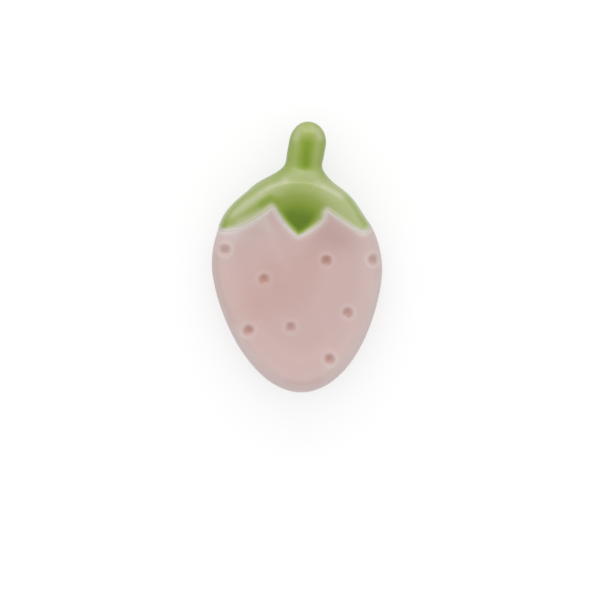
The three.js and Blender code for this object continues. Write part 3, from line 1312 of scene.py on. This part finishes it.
@dataclass(frozen=True)
class GreenCoat(GlazeCoat):
    """The green glaze over the leaf cap and the stalk."""

    stalk: Optional[StalkForm] = None
    ball_rounds: int = 7
    grain: float = 0.22
    # How far the skin reaches past the leaf line until it is trimmed
    spare: float = 2.0
    first_rounds: int = 6
    last_rounds: int = 9
    joint_run: float = 4.2
    joint_reach: float = 6.0
    joint_fall: float = 6.5
    joint_rounds: int = 200
    joint_fade: float = 0.3
    dish_depth: float = 0.56
    dish_width: float = 6.5
    dish_middle: float = 0.6
    dish_power: int = 4
    # Shares of the way down the slope at which the pool starts and is full
    dish_start: float = 0.08
    dish_end: float = 0.88
    # How far from the leaf line the pool is at its full depth
    pool_run: float = 1.2

    def side(self, points: np.ndarray) -> np.ndarray:
        """Gives the distance from the leaf line, above 0 towards the stalk."""
        return self.line.distance(points) - self.line.half_width + self.line_lap

    def near_joint(self, points: np.ndarray) -> np.ndarray:
        """Finds where the stalk runs into the shoulder.

        Args:
            points: Points in space.

        Returns:
            1 at the joint, falling to 0 away from it.
        """
        inset = self.form.plan(points)[1]
        beside = np.abs(points[:, 0] - self.stalk.axis(points[:, 1]))
        near = 1 - smoothstep(self.joint_reach, self.joint_reach + self.joint_fall, beside)
        return np.where(points[:, 1] > 0, np.minimum(1 - np.abs(inset) / self.joint_run, near), 0.0)

    def fused(self, bm: bmesh.types.BMesh) -> bmesh.types.BMesh:
        """Melts the berry and the stalk into one skin.

        Args:
            bm: Both forms, which are used up.

        Returns:
            The one skin.
        """
        mesh = bpy.data.meshes.new("green_blank")
        bm.to_mesh(mesh)
        bm.free()
        blank = bpy.data.objects.new("green_blank", mesh)
        bpy.context.scene.collection.objects.link(blank)
        skin = blank.modifiers.new("skin", "REMESH")
        skin.mode = "VOXEL"
        skin.voxel_size = self.grain
        evaluated = blank.evaluated_get(bpy.context.evaluated_depsgraph_get())
        made = bmesh.new()
        made.from_mesh(evaluated.to_mesh())
        evaluated.to_mesh_clear()
        bpy.data.objects.remove(blank)
        bpy.data.meshes.remove(mesh)
        return made

    def settle(self, bm: bmesh.types.BMesh, blank: BVHTree) -> None:
        """Lays the skin back on the forms that it was made from, away from the joint.

        Args:
            bm: The skin.
            blank: Both forms.
        """
        shares = 1 - smoothstep(0.0, self.joint_fade, self.near_joint(coordinates(bm)))
        for vert, share in zip(bm.verts, shares):
            if share > 0:
                vert.co = vert.co.lerp(blank.find_nearest(vert.co)[0], float(share))

    def glaze_depth_and_painted_light(self, points: np.ndarray, upright: np.ndarray) -> np.ndarray:
        """Adds the pool in the dish under the collar to the depth of the glaze.

        Args:
            points: Points of the coat.
            upright: How far each of them faces up, from -1 to 1.

        Returns:
            One depth for each point.
        """
        angle, inset = self.form.plan(points)
        _, crest, run = self.form.crest(angle)
        fall = np.clip((inset - crest) / run, 0, 1)
        middle = np.exp(-((points[:, 0] - self.dish_middle) / self.dish_width) ** self.dish_power)
        pool = self.dish_depth * smoothstep(self.dish_start, self.dish_end, fall) * middle
        pool = pool * smoothstep(0.0, self.pool_run, self.side(points))
        return super().glaze_depth_and_painted_light(points, upright) + pool

    def build(self) -> bpy.types.Object:
        """Builds the coat and puts it on the part.

        Returns:
            The piece.
        """
        bm = pressed_berry(self.form, self.ball_rounds)
        self.stalk.add_to(bm)
        blank = BVHTree.FromBMesh(bm)
        bm = self.fused(bm)
        bmesh.ops.triangulate(bm, faces=bm.faces)
        trim(bm, lambda points: self.side(points) + self.spare)
        soften(bm, self.first_rounds)
        self.settle(bm, blank)
        soften(bm, self.joint_rounds, self.near_joint)
        soften(bm, self.last_rounds)
        refine(bm, np.abs(self.side(coordinates(bm))) < self.edge_run)
        bm.normal_update()
        self.store_outward(bm)
        trim(bm, self.side)
        trim(bm, self.above_foot)
        self.lift(bm, np.full(len(bm.verts), self.under))
        self.cover(bm)
        return self.dress(bm)


@dataclass(frozen=True)
class ClayBerry:
    """The clay berry: its pits, its raised line, the leaf cap's seat and the bare foot."""

    form: BerryForm
    line: LeafLine
    pits: SeedPits
    name: str = "clay_berry"
    node: str = "berry_body"
    slot: str = "clay"
    ball_rounds: int = 7
    leaf_thickness: float = 1.5
    slip_gap: float = 0.3
    foot_line: float = 1.0
    line_fade: float = 0.9
    line_end: float = 0.1
    # Half the width of the finer mesh, next to the line's own
    fine_share: float = 2.5

    def near_line(self, points: np.ndarray) -> np.ndarray:
        """Gives values above 0 close to the leaf line."""
        return self.fine_share * self.line.half_width - np.abs(self.line.distance(points))

    def raise_line(self, bm: bmesh.types.BMesh) -> None:
        """Raises the line between the glazes out of the clay.

        Args:
            bm: The clay form.
        """
        half = self.line.half_width
        split_at(bm, lambda points: self.line.distance(points) - half)
        split_at(bm, lambda points: self.line.distance(points) + half)
        split_at(bm, lambda points: points[:, 2] - self.foot_line)
        bm.normal_update()
        centres = np.array([face.calc_center_median() for face in bm.faces])
        inside = (np.abs(self.line.distance(centres)) < half) & (centres[:, 2] > self.foot_line)
        band = [face for face, chosen in zip(bm.faces, inside) if chosen]
        layer = bm.verts.layers.float_vector.new("outward")
        for vert in bm.verts:
            vert[layer] = vert.normal
        made = bmesh.ops.extrude_face_region(bm, geom=band)["geom"]
        ridge = [item for item in made if isinstance(item, bmesh.types.BMVert)]
        bmesh.ops.delete(bm, geom=band, context="FACES")
        places = np.array([vert.co for vert in ridge])
        share = np.clip(self.line.distance(places) / half, -1, 1)
        rise = self.form.coat + self.line.proud - self.line.crown * share ** 2
        full = smoothstep(self.foot_line, self.foot_line + self.line_fade, places[:, 2])
        for vert, amount in zip(ridge, rise * (self.line_end + (1 - self.line_end) * full)):
            vert.co += vert[layer] * float(amount)
            vert.tag = True
        bm.verts.layers.float_vector.remove(layer)

    def sink_seat(self, bm: bmesh.types.BMesh) -> None:
        """Lowers the clay on the stalk's side of the line to the leaf cap's seat.

        Args:
            bm: The clay form with its line raised.
        """
        seat = self.form.clay_floor - self.leaf_thickness - self.slip_gap
        beyond = self.line.distance(coordinates(bm)) > self.line.half_width - 2 * SNAP
        for vert, chosen in zip(bm.verts, beyond):
            if chosen and not vert.tag and vert.co.z > seat:
                vert.co.z = seat

    def build(self) -> bpy.types.Object:
        """Builds the clay berry and puts it on the part.

        Returns:
            The piece.
        """
        bm = pressed_berry(self.form, self.ball_rounds, self.near_line)
        dips = self.pits.pressed(coordinates(bm))
        for vert, dip in zip(bm.verts, dips):
            vert.co -= vert.normal * float(dip)
            vert.tag = False
        self.raise_line(bm)
        self.sink_seat(bm)
        bmesh.ops.triangulate(bm, faces=bm.faces)
        bmesh.ops.recalc_face_normals(bm, faces=bm.faces)
        return on_part(finished(bm, self.name, ClayFinish().material()), self.node)


@dataclass(frozen=True)
class ClayStalk:
    """The clay of the stalk under its glaze, ending at the slip on the berry's wall."""

    stalk: StalkForm
    name: str = "clay_stalk"
    node: str = "stalk"
    slot: str = "clay"
    slip_gap: float = 0.3

    def outside(self, points: np.ndarray) -> np.ndarray:
        """Gives values above 0 beyond the slip on the berry's wall."""
        return -self.stalk.form.plan(points)[1] - self.slip_gap

    def build(self) -> bpy.types.Object:
        """Builds the clay stalk and puts it on the part.

        Returns:
            The piece.
        """
        bm = bmesh.new()
        self.stalk.add_to(bm)
        bmesh.ops.triangulate(bm, faces=bm.faces)
        trim(bm, self.outside)
        bmesh.ops.holes_fill(bm, edges=[edge for edge in bm.edges if edge.is_boundary], sides=0)
        bmesh.ops.triangulate(bm, faces=bm.faces)
        bmesh.ops.recalc_face_normals(bm, faces=bm.faces)
        return on_part(finished(bm, self.name, ClayFinish().material()), self.node)


@dataclass(frozen=True)
class HiddenLeafCap:
    """The leaf cap's clay: the CAD piece as it is, wholly under the green glaze."""

    node: str = "leaf_cap"

    def dress(self) -> None:
        """Gives the piece its fired clay."""
        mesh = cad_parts[self.node].data
        mesh.materials.clear()
        mesh.materials.append(ClayFinish().material())
        LOG.info("%s: CAD piece in fired clay", self.node)


@dataclass(frozen=True)
class Softbox:
    """A wide lamp with an even face, aimed at the rest."""

    name: str = "softbox_behind_stalk"
    turn: float = 90.0
    rise: float = 33.0
    power: float = 0.7
    distance: float = 600.0
    width: float = 700.0
    height: float = 200.0

    def build(self) -> None:
        """Hangs the lamp."""
        turn, rise = math.radians(self.turn), math.radians(self.rise)
        away = Vector((math.cos(turn) * math.cos(rise), math.sin(turn) * math.cos(rise), math.sin(rise)))
        light = bpy.data.lights.new(self.name, "AREA")
        light.shape = "RECTANGLE"
        light.size = self.width * MM
        light.size_y = self.height * MM
        light.energy = self.power
        lamp = bpy.data.objects.new(self.name, light)
        lamp.location = away * self.distance * MM
        lamp.rotation_euler = away.to_track_quat("Z", "Y").to_euler()
        lamp.visible_camera = False
        bpy.context.scene.collection.objects.link(lamp)


@dataclass(frozen=True)
class Studio:
    """A white table in a light tent, with the camera straight above the rest."""

    pixel: float = 0.19485
    pixels: int = 600
    middle: tuple[float, float] = (297.0, 257.22)
    level: float = 3.9
    camera_height: float = 500.0
    sensor: float = 36.0
    table: float = 2.0
    light: float = 0.91
    dim: float = 0.25
    top_start: float = 0.66
    top_end: float = 0.82
    front_start: float = 0.25
    front_end: float = 0.65
    front_low: float = 0.1
    front_high: float = 0.35

    def add_table(self) -> None:
        """Adds the table, which isn't part of the object."""
        bm = bmesh.new()
        bmesh.ops.create_grid(bm, x_segments=1, y_segments=1, size=self.table / 2 / MM)
        floor = finished(bm, "table", FloorFinish().material())

    def add_tent(self) -> None:
        """Adds the light: bright walls, with a dim opening above and one in front of the tip."""
        world = bpy.data.worlds.new("light_tent")
        world.use_nodes = True
        bpy.context.scene.world = world
        sheet = ShaderSheet(world.node_tree)
        way = sheet.node("ShaderNodeTexCoord").outputs["Generated"]
        parts = sheet.node("ShaderNodeSeparateXYZ", None, {0: way}).outputs
        height, front = Value(sheet, parts[2]), 0.0 - Value(sheet, parts[1])
        ahead = front.between(self.front_start, self.front_end)
        raised = height.between(self.front_low, self.front_high)
        opening = height.between(self.top_start, self.top_end).at_least(ahead * raised)
        shown = 1.0 - opening * (1.0 - self.dim)
        white = (1.0, 1.0, 1.0, 1.0)
        light = sheet.node("ShaderNodeBackground", None, {"Color": white, "Strength": self.light})
        walls = sheet.node("ShaderNodeBackground", None, {"Color": shown, "Strength": 1.0})
        sheet.finish(sheet.mixed(seen_directly(sheet), light, walls), "ShaderNodeOutputWorld")

    def add_camera(self) -> None:
        """Adds the camera at the photograph's view."""
        lens = bpy.data.cameras.new("camera")
        field = self.pixel * self.pixels
        lens.sensor_width = self.sensor
        lens.lens = self.sensor * self.camera_height / field
        lens.clip_end = 20.0
        camera = bpy.data.objects.new("camera", lens)
        across = (self.pixels / 2 - self.middle[0]) * self.pixel
        along = (self.middle[1] - self.pixels / 2) * self.pixel
        camera.location = Vector((across, along, self.level + self.camera_height)) * MM
        bpy.context.scene.collection.objects.link(camera)
        bpy.context.scene.camera = camera

    def build(self) -> None:
        """Builds the table, the lights and the camera."""
        bpy.context.scene.view_settings.view_transform = "Standard"
        self.add_table()
        self.add_tent()
        Softbox().build()
        self.add_camera()


def pink_coat(form: BerryForm, line: LeafLine, pits: SeedPits) -> PinkCoat:
    """Gives the pink coat with its colours and its uneven places.

    Args:
        form: Sizes of the berry.
        line: The line where the coat ends.
        pits: The seed pits.

    Returns:
        The coat, ready to build.
    """
    finish = GlazeFinish(
        name="pink_glaze",
        stops=(
            (0.0, shade(222, 210, 206)),
            (0.3, shade(211, 186, 182)),
            (0.5, shade(206, 177, 173)),
            (0.72, shade(194, 160, 153)),
            (1.0, shade(187, 138, 127)),
        ),
        warm_and_highlight_colour=shade(207, 168, 160),
    )
    return PinkCoat(
        form, line, "pink_glaze_coat", "berry_glaze", "pink_glaze", finish, pits=pits,
        body_depth=0.46,
        edge_pale=0.36,
        edge_fade=0.65,
        # Painted light on the steep walls and painted shade on the nearly upright belly
        wall_painted_shading=-0.15,
        belly_painted_shading=0.45,
        belly_upright=0.5,
        depth_and_light_strokes=(
            Stroke(((5.0, 3.8), (7.5, 3.0)), 3.2, 0.16),
            # Painted highlight: a pale streak across the pink
            Stroke(((-6.0, 6.8), (-4.2, 2.0), (-2.1, -2.0)), 0.9, -0.08),
            Stroke(((-3.0, -6.0), (1.0, -2.5)), 5.0, 0.1),
            # Painted light: paler under the left leaf, lifting the shade there
            Stroke(((-12.0, 4.4), (-8.5, 5.6), (-6.0, 6.4)), 2.4, -0.2),
            # Painted light on the lower right and lower left rims and painted shade on the left side, as if
            # lit from the right
            Stroke(((15.3, -5.0), (14.2, -11.0), (11.5, -16.9), (8.2, -21.2), (5.4, -23.0)), 0.9, -0.1),
            Stroke(((-16.2, 0.0), (-15.9, -5.0), (-14.8, -9.5)), 0.9, 0.1),
            Stroke(((-12.0, -13.4), (-9.9, -17.5), (-6.35, -21.5), (-3.0, -23.6)), 0.8, -0.1),
        ),
        warm_and_highlight_strokes=(
            Stroke(((-7.0, -8.0), (-3.5, -6.0)), 5.0, 0.5),
            Stroke(((0.5, -2.5), (2.0, -2.0)), 3.0, 0.35),
        ),
    )


def green_coat(form: BerryForm, line: LeafLine, stalk: StalkForm) -> GreenCoat:
    """Gives the green coat with its colours and its uneven places.

    Args:
        form: Sizes of the berry.
        line: The line where the coat ends.
        stalk: The stalk that the coat runs over.

    Returns:
        The coat, ready to build.
    """
    finish = GlazeFinish(
        name="green_glaze",
        stops=(
            (0.0, shade(206, 206, 176)),
            (0.25, shade(178, 189, 132)),
            (0.5, shade(153, 172, 82)),
            (0.75, shade(132, 159, 46)),
            (1.0, shade(99, 129, 28)),
        ),
        warm_and_highlight_colour=shade(184, 192, 118),
    )
    return GreenCoat(
        form, line, "green_glaze_coat", "leaf_glaze", "green_glaze", finish, stalk=stalk,
        body_depth=0.34,
        edge_pale=0.3,
        edge_fade=0.4,
        # The crest's pale band is partly a painted highlight
        crest_pale_and_highlight=0.06,
        # Painted shade on the steep walls and the stalk's sides
        wall_painted_shading=0.22,
        depth_and_light_strokes=(
            Stroke(((-14.0, 6.1), (-11.7, 7.4), (-8.4, 9.2), (-5.4, 11.3)), 0.7, 0.17),
            Stroke(((-11.0, 6.9), (-8.0, 8.1), (-5.2, 9.9)), 0.6, -0.1),
            Stroke(((2.2, 5.0), (5.0, 8.5)), 0.8, -0.3),
            Stroke(((2.2, 23.5), (1.0, 18.5)), 3.4, 0.11),
            Stroke(((1.95, 21.6), (1.75, 17.8)), 1.3, 0.34),
            # Painted highlights on the two sides of the stalk's far end
            Stroke(((-0.35, 22.9), (0.0, 24.3), (0.9, 25.1)), 0.75, -0.24),
            Stroke(((3.0, 25.1), (4.1, 24.4), (4.6, 23.2)), 0.75, -0.24),
            # Painted highlights along the collar's crest on the left and across the top of the collar by
            # the stalk's root
            Stroke(((-11.8, 8.0), (-9.35, 10.2), (-7.6, 11.5), (-5.1, 13.4), (-2.7, 14.4)), 0.9, -0.14),
            Stroke(((-1.9, 15.0), (-0.9, 15.4), (1.0, 15.8), (2.9, 15.5)), 1.1, -0.21),
            Stroke(((-6.6, 10.1), (-4.9, 11.1), (-3.9, 10.6)), 0.8, 0.18),
            # Painted highlight along the collar's crest on the right
            Stroke(((4.2, 14.4), (8.5, 11.9)), 0.9, -0.22),
            Stroke(((0.3, 13.0), (0.5, 6.0)), 4.5, 0.1),
        ),
        warm_and_highlight_strokes=(
            # Painted highlight: a pale yellow-green spot on the stalk's tip
            Stroke(((2.0, 25.0), (2.0, 25.5)), 1.6, 0.38),
        ),
    )


def main() -> None:
    """Builds the rest and the studio round it."""
    logging.basicConfig(level=logging.INFO, format="%(message)s")
    form = BerryForm()
    line = LeafLine(form)
    pits = SeedPits(form)
    stalk = StalkForm(form)
    ClayBerry(form, line, pits).build()
    ClayStalk(stalk).build()
    HiddenLeafCap().dress()
    pink_coat(form, line, pits).build()
    green_coat(form, line, stalk).build()
    Studio().build()


if __name__ == "__main__":
    main()
